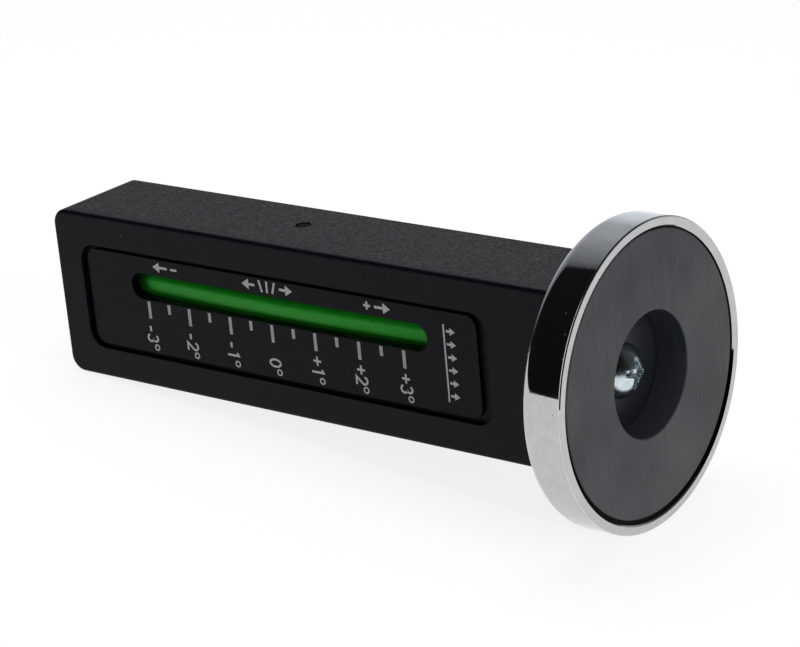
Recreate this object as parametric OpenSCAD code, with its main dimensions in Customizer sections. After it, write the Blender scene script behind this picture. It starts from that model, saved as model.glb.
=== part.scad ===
// Magnetic wheel-alignment gauge: a hollow bar housing with a long curved level vial behind a
// windowed dial, and a round cup magnet screwed to one end.
//
// Frame, in millimetres: the origin is the centre of the magnet's working face, +X points out of
// that face and away from the housing, the dial faces -Y, and +Z runs across the dial.

/* [Housing] */
// Length of the housing, from the back of the magnet to its far end
body_l = 148.2; // [144:0.1:190]
// Height of the housing, across the dial
body_h = 40.5; // [38:0.5:60]
// Depth of the housing, from its front to its back
body_d = 25; // [21.5:0.5:36]
// Corner radius of the housing, seen from the front
corner_r = 3.8; // [2.5:0.1:7]
// Rounding of the front edges
edge_r = 0.9; // [0.4:0.1:2]
// Thickness of the side walls
wall = 2.4; // [1.8:0.1:3]
// Thickness of the front wall under the dial
floor_t = 2; // [1.4:0.1:3]
// Length of the solid block at the magnet end
end_block = 14; // [13:0.5:20]
// Thickness of the stiffening ribs
rib_t = 1.6; // [1:0.1:2.4]
// Diameter of the round moulding mark on top
gate_d = 3.7; // [2:0.1:6]
// Depth of the round moulding mark
gate_depth = 0.3; // [0.1:0.05:0.8]
// Distance of the round moulding mark from the zero mark, towards the magnet
gate_x = 0.3; // [-10:0.1:10]
// Distance of the round moulding mark behind the middle of the top
gate_y = 1.8; // [-4:0.1:4]

/* [Back cover] */
// Thickness of the back cover
cover_t = 2.2; // [1.8:0.1:3]
// Width of the housing's edge that shows round the cover
cover_lip = 1.3; // [1:0.1:1.7]
// Gap all round the cover
cover_gap = 0.1; // [0.05:0.05:0.3]
// Distance of the cover screws from the housing's outer faces
cover_screw_in = 6.2; // [5.6:0.1:8]
// Shank diameter of the cover screws
cover_screw_d = 2.9; // [2.2:0.1:3.4]
// Head diameter of the cover screws
cover_head_d = 5.6; // [4.4:0.1:6.4]
// Length of the cover screws
cover_screw_l = 9; // [6:0.5:14]

/* [Dial] */
// Distance of the recess in the front from the housing's far end
recess_far = 7.8; // [6:0.1:12]
// Height of the recess
recess_h = 25.7; // [24.4:0.1:32]
// Corner radius of the recess
recess_r = 4.4; // [2:0.1:8]
// Distance of the recess from the magnet end of the housing
recess_near = 22.3; // [18:0.1:26]
// Height of the recess's middle above the housing's middle
recess_z = -0.1; // [-2:0.1:2]
// Gap between the dial plate and the recess at the far end
dial_gap_far = 1.7; // [0.5:0.1:3]
// Gap between the dial plate and the recess at the magnet end
dial_gap_near = 3.1; // [0.5:0.1:4]
// Height of the dial plate
dial_h = 23.4; // [22:0.1:24.4]
// Corner radius of the dial plate
dial_r = 2.7; // [1:0.1:6]
// Thickness of the dial plate
dial_t = 0.8; // [0.5:0.05:1.5]
// Distance of the dial plate's face below the housing's front
dial_sink = 0.6; // [0.2:0.05:1.2]
// Thickness of the adhesive tape behind the dial plate
tape_t = 0.2; // [0.1:0.05:0.4]
// Width that the tape stays inside the dial plate's edge
tape_in = 0.6; // [0.3:0.1:1]
// Distance of the window from both ends of the dial plate
window_in = 13.4; // [12.5:0.1:20]
// Height of the window
window_h = 6.5; // [5:0.1:8]
// Height of the window's middle above the dial's middle
window_up = 4.5; // [3.6:0.05:4.8]
// Offset of the zero mark from the window's middle, towards the far end
zero_shift = 1; // [0:0.05:1.5]
// Width of a mark
mark_w = 1; // [0.4:0.1:2]
// Length of a whole-degree mark
mark_l = 4.6; // [2:0.1:6]
// Length of a half-degree mark
half_mark_l = 2.8; // [1:0.1:4]
// Thickness of the printed marks
ink_t = 0.05; // [0.02:0.01:0.1]

/* [Vial] */
// Radius of the vial's curve: one degree is this radius times pi / 180 along the scale
curve_r = 715; // [640:5:800]
// Outer diameter of the vial
vial_d = 9.4; // [8:0.1:10]
// Wall of the vial
vial_wall = 0.9; // [0.6:0.05:1.2]
// Length by which the vial reaches past each end of the window
vial_over = 13.1; // [12.4:0.1:13.5]
// Length of the plugs in the vial's ends
plug_l = 2.6; // [1.5:0.1:4]
// Gap between the vial and the dial plate
vial_gap = 0.3; // [0.1:0.05:0.5]
// Length of the bubble
bubble_l = 8.4; // [6:0.1:9]
// Width of the bubble
bubble_w = 5.2; // [3:0.1:5.4]
// Depth of the bubble
bubble_depth = 2.4; // [1.5:0.1:2.5]
// Running gap round the bubble
bubble_gap = 0.3; // [0.25:0.05:0.5]

/* [Cradle] */
// Thickness of the cradle's walls
cradle_wall = 1.5; // [1:0.1:2]
// Thickness of the cradle's ears
ear_t = 2; // [1.2:0.1:3]
// Half the distance between the ears
ear_x = 40; // [30:0.5:46]
// Radius of the bosses that carry the ears
boss_r = 3; // [2.4:0.1:3.6]
// Height of those bosses above the inside of the front wall
boss_h = 6.9; // [6:0.1:8]
// Shank diameter of the cradle screws
cradle_screw_d = 2.4; // [1.8:0.1:3]
// Head diameter of the cradle screws
cradle_head_d = 4.6; // [3.6:0.1:5.4]
// Head height of the cradle screws
cradle_head_h = 1.6; // [1:0.1:2.2]

/* [Magnet] */
// Diameter of the magnet cup
cup_d = 67; // [60:0.5:80]
// Thickness of the magnet cup
cup_t = 10.5; // [9:0.25:14]
// Wall of the magnet cup
cup_wall = 2.2; // [1.5:0.1:3]
// Base of the magnet cup
cup_base = 2.4; // [1.2:0.1:2.8]
// Rounding at the back of the magnet cup
cup_r = 3.2; // [1:0.1:5]
// Small bevel on both edges of the cup's rim
rim_bevel = 0.3; // [0.1:0.05:0.5]
// Gap between the ferrite ring and the cup's wall
ring_gap = 0.7; // [0.4:0.1:1.5]
// Distance of the ferrite ring's face below the rim
ring_sink = 0.15; // [0.05:0.05:1]
// Diameter of the hole in the ferrite ring
ring_hole_d = 27.2; // [20:0.2:32]
// Bevel on the ferrite ring's edges
ring_bevel = 0.2; // [0.2:0.05:1]
// Thickness of the adhesive under the ferrite ring
glue_t = 0.2; // [0.1:0.05:0.4]

/* [Centre screw] */
// Thread diameter of the centre screw
screw_d = 6; // [5:0.5:6.5]
// Head diameter of the centre screw
head_d = 12; // [10:0.25:12.5]
// Head height of the centre screw
head_h = 4.4; // [4:0.1:4.5]
// Radius of the dome on the screw head
dome_r = 7; // [7:0.25:14]
// Length of the centre screw under its head
screw_l = 15; // [14:0.5:15.5]
// Width of the nut across its flats
nut_w = 10; // [9:0.25:12]
// Thickness of the nut
nut_t = 5; // [4:0.25:6]

/* [Hidden] */
$fn = 96;
SWEEP_FN = 1440;

// Clearances between pieces that are fitted together
fit = 0.03;
slip = 0.15;
// Overrun of a cut past the face that it opens
over = 1;

// Housing
near_x = -cup_t;
far_x = near_x - body_l;
mid_x = (near_x + far_x) / 2;
front = body_d / 2;
recess_depth = dial_sink + dial_t + tape_t;
floor_front = front - recess_depth;
floor_back = floor_front - floor_t;
back = -body_d / 2;
seat = back + cover_t;
cavity_far = far_x + wall;
cavity_near = near_x - end_block;
cavity_top = body_h / 2 - wall;
post_r = cover_screw_d / 2 + 1.75;

// Dial
recess_l = body_l - recess_far - recess_near;
recess_x = near_x - recess_near - recess_l / 2;
dial_l = recess_l - dial_gap_far - dial_gap_near;
dial_x = recess_x - (dial_gap_near - dial_gap_far) / 2;
window_l = dial_l - 2 * window_in;
dial_z = recess_z;
dial_back = front - dial_sink - dial_t;
window_z = dial_z + window_up;
zero_x = dial_x - zero_shift;
degree_l = curve_r * PI / 180;
degrees = floor((window_l / 2 - zero_shift) / degree_l);

// Vial, whose curve is centred far behind the housing
vial_l = window_l + 2 * vial_over;
bore_r = vial_d / 2 - vial_wall;
vial_axis = dial_back - vial_gap - vial_d / 2;
curve_y = curve_r - vial_axis;
half_deg = vial_l / 2 / degree_l;
plug_deg = plug_l / degree_l;
stop_gap = 0.3;
park_deg = half_deg - plug_deg - (bubble_l / 2 + stop_gap) / degree_l;
bubble_top = bore_r - bubble_gap;
reach_deg = half_deg + slip / degree_l;

// Cradle
cradle_h = vial_d + 2 * (slip + cradle_wall);
cradle_l = vial_l + 2 * (slip + cradle_wall);
cradle_front = vial_axis - 0.6;
end_sag = curve_r * (1 - cos(half_deg));
cradle_back = vial_axis - end_sag - vial_d / 2 - cradle_wall;
ear_z = window_z - cradle_h / 2 - boss_r - 0.6;
ear_front = floor_back - boss_h;
ear_back = ear_front - ear_t;
cradle_screw_l = ear_t + boss_h - 1.9;

// Magnet and its screw
cup_r_out = cup_d / 2;
cup_r_in = cup_r_out - cup_wall;
cup_floor = cup_t - cup_base;
ring_r = cup_r_in - ring_gap;
ring_hole_r = ring_hole_d / 2;
screw_hole_r = screw_d / 2 + slip;
nut_x = near_x - end_block / 2 - 1;

// Turns the flat of the dial to face -Y: x stays, y becomes Z, and z becomes the way out
module face_frame() rotate([90, 0, 0]) children();

// Turns a shape made along z to lie along X
module along_x() rotate([0, 90, 0]) children();

// Plain slab with round corners, centred in x and y, standing on z = 0
module slab(l, h, t, r) {
    linear_extrude(t) {
        square([l - 2 * r, h], center = true);
        square([l, h - 2 * r], center = true);
        for (x = [-1, 1], y = [-1, 1])
            translate([x * (l / 2 - r), y * (h / 2 - r)]) circle(r);
    }
}

// Section of a slab's side: r wide and t high, with its outer top corner rounded
module side_section(r, t, e) {
    square([r, t - e]);
    square([r - e, t]);
    translate([r - e, t - e]) circle(e, $fn = 48);
}

// One straight side of the slab below, running l along y
module straight_side(l, r, t, e) {
    translate([0, l / 2, 0]) rotate([90, 0, 0]) linear_extrude(l) side_section(r, t, e);
}

// Slab with round corners and a rounded top edge
module soft_slab(l, h, t, r, e) {
    cx = l / 2 - r;
    cy = h / 2 - r;
    translate([-cx, -cy, 0]) cube([2 * cx, 2 * cy, t]);
    for (turn = [0, 180]) rotate(turn) {
        translate([cx, 0, 0]) straight_side(2 * cy, r, t, e);
        translate([0, cy, 0]) rotate(90) straight_side(2 * cx, r, t, e);
        translate([cx, cy, 0]) rotate_extrude(angle = 90) side_section(r, t, e);
        translate([-cx, cy, 0]) rotate(90) rotate_extrude(angle = 90) side_section(r, t, e);
    }
}

// Places of the four cover screws, in the face frame
module at_cover_screws() {
    z = body_h / 2 - cover_screw_in;
    for (x = [far_x + cover_screw_in, near_x - cover_screw_in], y = [-z, z])
        translate([x, y, 0]) children();
}

// Places of the two cradle screws, in the face frame
module at_cradle_screws() {
    for (side = [-1, 1]) translate([zero_x + side * ear_x, ear_z, 0]) children();
}

// Shape swept along the vial's curve, from one angle to the other; 0 is the zero mark
module sweep(from_deg, to_deg) {
    translate([zero_x, curve_y, window_z])
        rotate(-90 + from_deg)
            rotate_extrude(angle = to_deg - from_deg, $fn = SWEEP_FN)
                translate([curve_r, 0]) children();
}

module housing_hollow() {
    l = cavity_near - cavity_far;
    r = max(corner_r - wall, 0.5);
    translate([cavity_far + l / 2, 0, back - over])
        slab(l, 2 * cavity_top, floor_back - back + over, r);
}

module cover_rebate() {
    translate([mid_x, 0, back - over])
        slab(body_l - 2 * cover_lip, body_h - 2 * cover_lip, cover_t + over, corner_r - cover_lip);
}

module dial_recess() {
    translate([recess_x, recess_z, floor_front]) slab(recess_l, recess_h, recess_depth + over, recess_r);
}

// Opening in the front wall, in line with the dial's window
module wall_window() {
    translate([dial_x, window_z, floor_back - over]) linear_extrude(floor_t + 2 * over) window_outline();
}

// Trough behind that opening, in which the crown of the vial lies
module wall_trough() {
    sweep(-reach_deg, reach_deg) {
        circle(vial_d / 2 + slip);
        translate([-vial_d, -vial_d / 2 - slip]) square([vial_d, vial_d + 2 * slip]);
    }
}

module screw_posts() {
    z = body_h / 2 - cover_screw_in;
    for (y = [-z, z])
        translate([far_x + cover_screw_in, y, seat]) cylinder(h = floor_back - seat + 0.5, r = post_r);
}

module cradle_posts() {
    at_cradle_screws() translate([0, 0, ear_front]) cylinder(h = boss_h + 0.5, r = boss_r);
}

// Upright ribs under the cradle, from the bottom wall up
module ribs() {
    top = window_z - cradle_h / 2 - 2;
    for (x = [zero_x - ear_x / 2, zero_x + ear_x / 2])
        translate([x - rib_t / 2, -body_h / 2 + wall / 2, ear_front])
            cube([rib_t, top + body_h / 2 - wall / 2, floor_back - ear_front + 0.5]);
}

module pilot_holes() {
    at_cover_screws() translate([0, 0, seat - over])
        cylinder(h = cover_screw_l - cover_t + 1 + over, r = cover_screw_d / 2 + fit, $fn = 48);
    at_cradle_screws() translate([0, 0, ear_front - over])
        cylinder(h = boss_h - 0.7 + over, r = cradle_screw_d / 2 + fit, $fn = 48);
}

// Slot for the nut, open to the back and closed by the cover
module nut_pocket() {
    w = nut_w + 2 * slip;
    t = nut_t + 2 * slip;
    reach = nut_w / 2 / cos(30) + slip;
    translate([nut_x - t / 2, -w / 2, back - over]) cube([t, w, reach - back + over]);
}

// Round mark that the mould leaves on the top face
module gate_mark() {
    translate([zero_x + gate_x, gate_y, body_h / 2 - gate_depth]) difference() {
        cylinder(h = over, d = gate_d);
        cylinder(h = gate_depth / 2, d = gate_d * 0.55);
    }
}

module body_shell() {
    color([0.13, 0.13, 0.14]) difference() {
        union() {
            face_frame() difference() {
                translate([mid_x, 0, back]) soft_slab(body_l, body_h, body_d, corner_r, edge_r);
                housing_hollow();
            }
            face_frame() {
                screw_posts();
                cradle_posts();
                ribs();
            }
        }
        face_frame() {
            cover_rebate();
            dial_recess();
            wall_window();
            pilot_holes();
            nut_pocket();
        }
        wall_trough();
        gate_mark();
        translate([cavity_near - over, 0, 0]) along_x()
            cylinder(h = end_block + 2 * over, r = screw_hole_r);
    }
}

module back_cover() {
    l = body_l - 2 * (cover_lip + cover_gap);
    h = body_h - 2 * (cover_lip + cover_gap);
    color([0.12, 0.12, 0.13]) face_frame() difference() {
        translate([mid_x, 0, back]) slab(l, h, cover_t, corner_r - cover_lip - cover_gap);
        at_cover_screws() translate([0, 0, back]) screw_seat();
    }
}

// Countersunk hole for a cover screw, from the cover's outer face inwards
module screw_seat() {
    r = cover_screw_d / 2 + slip;
    head = cover_head_d / 2 + fit;
    translate([0, 0, -over]) cylinder(h = cover_t + 2 * over, r = r, $fn = 48);
    translate([0, 0, -over]) cylinder(h = over, r = head, $fn = 48);
    cylinder(h = head - r, r1 = head, r2 = r, $fn = 48);
}

module cover_screw() {
    r = cover_screw_d / 2;
    head = cover_head_d / 2;
    difference() {
        union() {
            cylinder(h = cover_screw_l, r = r, $fn = 48);
            cylinder(h = head - r, r1 = head, r2 = r, $fn = 48);
        }
        cross_recess(cover_head_d * 0.55, cover_head_d * 0.14, (head - r) * 0.9);
    }
}

// Cross-shaped driver recess, cut from z = 0 upwards
module cross_recess(l, w, depth) {
    for (turn = [0, 90]) rotate(turn) translate([-l / 2, -w / 2, -over]) cube([l, w, depth + over]);
}

module cover_screws() {
    color([0.35, 0.35, 0.37]) face_frame() at_cover_screws() translate([0, 0, back]) cover_screw();
}

// Window with round ends, in the plane of the dial, with a gap round it
module window_outline(gap = 0) {
    square([window_l - window_h, window_h + 2 * gap], center = true);
    for (side = [-1, 1]) translate([side * (window_l - window_h) / 2, 0]) circle(window_h / 2 + gap);
}

module dial_plate() {
    color([0.14, 0.14, 0.15]) face_frame() difference() {
        translate([dial_x, dial_z, dial_back]) slab(dial_l, dial_h, dial_t, dial_r);
        translate([dial_x, window_z, dial_back - over]) linear_extrude(dial_t + 2 * over) window_outline();
    }
}

module dial_tape() {
    r = max(dial_r - tape_in, 0.3);
    color([0.85, 0.85, 0.8]) face_frame() difference() {
        translate([dial_x, dial_z, floor_front]) slab(dial_l - 2 * tape_in, dial_h - 2 * tape_in, tape_t, r);
        translate([dial_x, window_z, floor_front - over])
            linear_extrude(tape_t + 2 * over) window_outline(tape_in);
    }
}

module scale_marks() {
    top = window_z - window_h / 2 - 0.05;
    color([0.8, 0.8, 0.8]) face_frame() for (i = [-2 * degrees : 2 * degrees]) {
        l = i % 2 == 0 ? mark_l : half_mark_l;
        x = zero_x + i * degree_l / 2;
        translate([x - mark_w / 2, top - l, front - dial_sink]) cube([mark_w, l, ink_t]);
    }
}

module vial_tube() {
    color([0.6, 0.85, 0.6, 0.4]) sweep(-half_deg, half_deg) difference() {
        circle(d = vial_d);
        circle(bore_r);
    }
}

// The liquid fills the bore and leaves the channel that the bubble runs in
module vial_fluid() {
    bed = bubble_top - bubble_depth - bubble_gap;
    lane = bubble_w / 2 + bubble_gap;
    reach = half_deg - plug_deg - fit / degree_l;
    color([0.1, 0.6, 0.15, 0.7]) sweep(-reach, reach) difference() {
        circle(bore_r - fit / 2);
        translate([bed, -lane]) square([bore_r, 2 * lane]);
    }
}

// Half outline of the bubble, as an ellipse about the y axis
module bubble_outline() {
    polygon([for (a = [-90 : 6 : 90]) [bubble_w / 2 * cos(a), bubble_l / 2 * sin(a)]]);
}

// The bubble parks against the plug at the magnet end, out of sight
module bubble() {
    crown = curve_r + bubble_top;
    color([0.85, 1, 0.85, 0.6]) translate([zero_x, curve_y, window_z]) rotate(park_deg)
        intersection() {
            translate([0, bubble_w / 2 - crown, 0]) along_x() rotate_extrude() bubble_outline();
            translate([-bubble_l, -crown - over, -bubble_w])
                cube([2 * bubble_l, bubble_depth + over, 2 * bubble_w]);
        }
}

module vial_plug_far() {
    color([0.2, 0.2, 0.2]) sweep(-half_deg, -half_deg + plug_deg) circle(bore_r - fit / 2);
}

module vial_plug_near() {
    color([0.2, 0.2, 0.2]) sweep(half_deg - plug_deg, half_deg) circle(bore_r - fit / 2);
}

// Trough for the vial, open towards the dial, with a closed end at each side
module cradle_trough() {
    difference() {
        translate([zero_x - cradle_l / 2, -cradle_front, window_z - cradle_h / 2])
            cube([cradle_l, cradle_front - cradle_back, cradle_h]);
        sweep(-reach_deg, reach_deg) {
            circle(vial_d / 2 + slip);
            translate([0, -vial_d / 2 - slip]) square([vial_d, vial_d + 2 * slip]);
        }
    }
}

module cradle_ears() {
    face_frame() at_cradle_screws() translate([0, 0, ear_back]) {
        cylinder(h = ear_t, r = boss_r);
        translate([-boss_r, 0, 0]) cube([2 * boss_r, window_z - cradle_h / 2 - ear_z + 0.5, ear_t]);
    }
}

module vial_cradle() {
    color([0.2, 0.2, 0.22]) difference() {
        union() {
            cradle_trough();
            cradle_ears();
        }
        face_frame() at_cradle_screws() translate([0, 0, ear_back - over])
            cylinder(h = ear_t + 2 * over, r = cradle_screw_d / 2 + slip, $fn = 48);
    }
}

module cradle_screw() {
    difference() {
        union() {
            cylinder(h = cradle_screw_l, d = cradle_screw_d, $fn = 48);
            translate([0, 0, -cradle_head_h]) cylinder(h = cradle_head_h, d = cradle_head_d, $fn = 48);
        }
        translate([0, 0, -cradle_head_h])
            cross_recess(cradle_head_d * 0.6, cradle_head_d * 0.16, cradle_head_h * 0.6);
    }
}

module cradle_screws() {
    color([0.7, 0.7, 0.72]) face_frame() at_cradle_screws() translate([0, 0, ear_back]) cradle_screw();
}

// Half section of the magnet cup: x is the radius and y is along the axis, 0 at the rim
module cup_section() {
    difference() {
        union() {
            translate([0, -cup_t]) square([cup_r_out - cup_r, cup_t - rim_bevel]);
            translate([0, cup_r - cup_t]) square([cup_r_out, cup_t - cup_r - rim_bevel]);
            translate([cup_r_out - cup_r, cup_r - cup_t]) circle(cup_r, $fn = 64);
            polygon([[0, -rim_bevel], [cup_r_out, -rim_bevel], [cup_r_out - rim_bevel, 0], [0, 0]]);
        }
        translate([0, -cup_floor]) square([cup_r_in, cup_t]);
        polygon([[0, over], [0, -rim_bevel], [cup_r_in, -rim_bevel], [cup_r_in + rim_bevel, 0],
                 [cup_r_in + rim_bevel, over]]);
        translate([0, -cup_t - over]) square([screw_hole_r, cup_t]);
    }
}

module magnet_cup() {
    color([0.8, 0.8, 0.82]) along_x() rotate_extrude($fn = 180) cup_section();
}

module ferrite_ring() {
    b = ring_bevel;
    bottom = -cup_floor + glue_t;
    color([0.28, 0.29, 0.3]) along_x() rotate_extrude($fn = 180)
        polygon([[ring_hole_r + b, -ring_sink], [ring_r - b, -ring_sink], [ring_r, -ring_sink - b],
                 [ring_r, bottom], [ring_hole_r, bottom], [ring_hole_r, -ring_sink - b]]);
}

// Adhesive under the ferrite ring and in the gap round it
module ring_adhesive() {
    top = -ring_sink - 2 * ring_bevel;
    out = cup_r_in - fit;
    color([0.05, 0.05, 0.05]) along_x() rotate_extrude($fn = 180)
        polygon([[ring_hole_r + ring_bevel, -cup_floor], [out, -cup_floor], [out, top],
                 [ring_r + fit, top], [ring_r + fit, -cup_floor + glue_t],
                 [ring_hole_r + ring_bevel, -cup_floor + glue_t]]);
}

module screw_head() {
    difference() {
        rotate_extrude() intersection() {
            square([head_d / 2, head_h]);
            translate([0, head_h - dome_r]) circle(dome_r);
        }
        translate([0, 0, head_h]) mirror([0, 0, 1]) cross_recess(head_d * 0.56, head_d * 0.12, head_h * 0.6);
    }
}

module centre_screw() {
    color([0.75, 0.75, 0.78]) translate([-cup_floor, 0, 0]) along_x() {
        screw_head();
        translate([0, 0, -screw_l]) cylinder(h = screw_l + 0.5, d = screw_d - fit);
    }
}

module captive_nut() {
    color([0.6, 0.6, 0.62]) translate([nut_x - nut_t / 2, 0, 0]) along_x() difference() {
        rotate(30) cylinder(h = nut_t, r = nut_w / 2 / cos(30), $fn = 6);
        translate([0, 0, -over]) cylinder(h = nut_t + 2 * over, d = screw_d + fit);
    }
}

body_shell();
back_cover();
cover_screws();
dial_plate();
dial_tape();
scale_marks();
vial_tube();
vial_fluid();
bubble();
vial_plug_far();
vial_plug_near();
vial_cradle();
cradle_screws();
magnet_cup();
ferrite_ring();
ring_adhesive();
centre_screw();
captive_nut();
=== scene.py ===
"""Looks of a magnetic wheel-alignment gauge: a black bar with a green level vial and a cup magnet."""

import math

import bpy
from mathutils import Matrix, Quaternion, Vector


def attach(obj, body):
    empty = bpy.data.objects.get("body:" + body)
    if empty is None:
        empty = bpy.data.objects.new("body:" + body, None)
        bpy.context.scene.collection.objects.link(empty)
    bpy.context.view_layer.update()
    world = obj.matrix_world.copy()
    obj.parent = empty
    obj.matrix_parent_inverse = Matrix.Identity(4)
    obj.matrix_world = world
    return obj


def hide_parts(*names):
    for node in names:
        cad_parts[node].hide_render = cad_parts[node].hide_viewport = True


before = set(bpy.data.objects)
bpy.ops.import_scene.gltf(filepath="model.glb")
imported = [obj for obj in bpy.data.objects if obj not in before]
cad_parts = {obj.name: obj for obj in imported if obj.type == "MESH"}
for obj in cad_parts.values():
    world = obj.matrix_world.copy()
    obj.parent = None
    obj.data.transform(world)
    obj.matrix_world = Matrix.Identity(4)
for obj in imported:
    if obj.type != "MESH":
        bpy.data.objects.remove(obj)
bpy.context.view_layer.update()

# ---------------------------------------------------------------- sizes, in millimetres
MM = 0.001

# Smallest step, within which a face counts as lying at a place
TOUCH = 0.01

# Magnet cup and ferrite ring, along +X; the rim's face is x = 0
CUP_R = 33.5
CUP_T = 10.5
CUP_WALL = 2.2
CUP_FLOOR = 8.1
CUP_BACK_R = 3.2
RIM_BEVEL = 0.3
# Facet on the rim's outer edge that carries a painted highlight, and the heights over which it turns
# to a painted dark reflection
EDGE_HIGHLIGHT_W = 0.08
DARK_EDGE_Z = (22.0, 30.0)
SCREW_HOLE_R = 3.15
RING_R = 30.6
RING_HOLE_R = 13.6
RING_OFF = (-0.15, 0.45)
RING_SINK = 0.15
RING_BEVEL = 0.2
# Heights over which the ring's hole is painted paler low down, as painted light
HOLE_LIGHT_Z = (2.0, -9.0)
GLUE_T = 0.2
GLUE_SINK = 0.55
GLUE_GAP = 0.03

# Centre screw: head, with its dome from this share of the radius inwards
HEAD_R = 6.0
HEAD_H = 4.4
HEAD_BEVEL = 0.25
HEAD_RIM_DROP = 0.2
DOME_R = 7.0
DOME_SHARE = 0.985

# Shank, which ends in a step and is plain under the head, with so many points to a turn of thread
SHANK_R = 2.98
SHANK_L = 15.0
SHANK_STEP = 0.5
SHANK_PLAIN = 1.0
SHANK_TIP_R = 0.02
THREAD_PITCH = 1.0
THREAD_DEPTH = 0.32
THREAD_STEPS = 4

# Cross recess: arms that taper and rise outwards, the pit in its middle, and the width of each slope
RECESS_ARM = 3.3
RECESS_HALF_W = 0.85
RECESS_DEPTH = 2.3
RECESS_RISE = 0.55
RECESS_SIDE = 0.22
RECESS_END = 0.35
RECESS_PIT_R = 1.45
RECESS_PIT_SIDE = 0.3
RECESS_TURN = math.radians(14)

# Dial, which faces -Y, and the marks of its scale
DIAL_FACE = -11.9
INK_T = 0.05
ZERO_X = -93.55
DEGREE_L = 12.479
DEGREES = 3
MARK_TOP = 0.9
MARK_W = 0.88
MARK_L = 4.2
HALF_MARK_L = 2.3

# Figures under the marks, each with a sign and a degree ring; X is from the figure's mark
DIGIT_H = 3.55
DIGIT_Z = -8.2
STROKE = 0.50
PLUS_Z = -5.7
PLUS_HALF = 1.1
MINUS_X = -0.4
MINUS_Z = (-5.2, -6.5)
MINUS_W = 0.6
DEGREE_X = 1.0
DEGREE_Z = -10.35
DEGREE_R = 0.64
DEGREE_W = 0.34

# Signs over the window; the offsets are from the middle of each sign
TOP_SIGNS_Z = 9.8
FAR_SIGN_X = -124.7
NEAR_SIGN_X = -62.5
END_ARROW_OFF = 1.5
END_SIGN_OFF = 2.75
END_SIGN_HALF = 0.95
SIGN_W = 0.55
TILTS_X = -93.8
TILT_FOOT_OFF = 1.5
TILT_TOP_OFF = 2.3
TILT_HALF_H = 1.35
TILT_ARROW_OFF = 5.5

# Bar with a row of arrows at the magnet end of the dial
BAR_X = -44.6
BAR_TOP = 8.7
BAR_BOTTOM = -9.1
BAR_W = 0.42
BAR_ARROWS = 6
BAR_ARROW_X = -42.8

# Arrows as (length, length of the head, width of the line); half a head's width by its length
END_ARROW = (4.4, 2.0, 0.6)
TILT_ARROW = (3.8, 2.0, 0.6)
BAR_ARROW = (2.4, 1.4, 0.55)
ARROW_HALF_W = 0.62

# Least cosine that the width at a mitred corner is divided by
MITRE_LIMIT = 0.45

# Housing: where its top face begins, and where its front edge ends
TOP_Z = (19.5, 20.0)
FRONT_Y = (-12.2, -9.8)

# Moulding mark on top of the housing
GATE_AT = (-93.25, 1.8, 20.1)
GATE_R = 1.95
GATE_FLOOR = 19.95
STUB_R = 1.6
STUB_H = 0.23
STUB_WAVE = 0.045

# Vial: the curve's centre lies behind the gauge
CURVE_R = 715.0
CURVE_Y = 708.9
VIAL_Z = 4.4
VIAL_R = 4.7
BORE_R = 3.8
VIAL_HALF_DEG = 4.5155
PLUG_DEG = 0.2084
PLUG_GAP = 0.02
LIQUID_R = 3.70
LIQUID_GAP_DEG = 0.004

# Bubble: its size, the power that squares its crown, and the share of the way out where its rim begins
BUBBLE_L = 8.4
BUBBLE_W = 5.2
BUBBLE_D = 2.4
BUBBLE_DEG = 3.9466
BUBBLE_GAP = 0.04
BUBBLE_ROUND = 5
BUBBLE_RIM = 0.74

# Painted light in the liquid's colour by height, brightest low where light from above gathers, and
# where along it the window's far end casts painted shade
LIQUID_LIGHT_COLOURS = [
    (1.2, (0.02, 0.50, 0.01)), (2.2, (0.10, 0.62, 0.09)), (3.0, (0.06, 0.36, 0.06)),
    (3.8, (0.015, 0.26, 0.018)), (4.7, (0.004, 0.24, 0.006)), (5.5, (0.002, 0.155, 0.004)),
    (6.2, (0.002, 0.105, 0.004)), (6.7, (0.003, 0.062, 0.004))]
WINDOW_END_X = (-134.8, -132.4)

# Table: the gauge lies on the back edge of its magnet and on the far end of its housing
TABLE_TILT = math.radians(5.13)
TABLE_DROP = 34.03

# Camera, in metres, from the photograph's perspective
CAMERA_AT = Vector((0.30549, -0.44643, 0.21105))
CAMERA_AIM = Vector((-0.066293, 0.0, 0.001423))
CAMERA_ROLL = math.radians(-5.32)
CAMERA_LENS = 126.15
CAMERA_SENSOR = 36.0

# Table and lamps, in metres; each lamp has its place, its width and height, and its watts
TABLE_AT = Vector((-0.08, 0.0, 0.0))
TABLE_R = 0.42
TABLE_WHITE = 0.9
TABLE_SHADE = 0.16
LAMPS_AIM = Vector((-0.07, 0, 0))
LAMPS = {
    "overhead": ((-0.15, 0.10, 0.85), (0.7, 0.5), 5.0),
    "front_left": ((-0.45, -0.85, 0.08), (0.4, 0.4), 2.0),
    "right": ((0.75, -0.15, 0.35), (0.4, 0.4), 2.5),
}

# World: even light on matt faces, and in reflections a level by how far back and right they point.
# The back is a little blue, and its green rises by a share of that
WORLD_LEVEL = 0.45
STUDIO_BACK = [(-0.90, 0.006), (0.075, 0.010), (0.12, 0.14), (0.18, 0.22),
               (0.34, 0.34), (0.56, 0.51), (0.72, 0.56), (0.80, 0.88)]
STUDIO_RIGHT = [(-0.25, 1.0), (0.35, 0.10)]
STUDIO_TINT = 0.12
TINT_IN_GREEN = 0.45


# ---------------------------------------------------------------- mesh helpers
def make_object(name, verts, faces, crease=0):
    """Mesh object from points in millimetres, smooth where faces meet at less than crease degrees."""
    mesh = bpy.data.meshes.new(name)
    mesh.from_pydata([tuple(c * MM for c in v) for v in verts], [], faces)
    mesh.validate()
    if crease:
        mesh.shade_smooth()
        mesh.set_sharp_from_angle(angle=math.radians(crease))
    else:
        mesh.shade_flat()
    obj = bpy.data.objects.new(name, mesh)
    bpy.context.scene.collection.objects.link(obj)
    return obj


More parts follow.
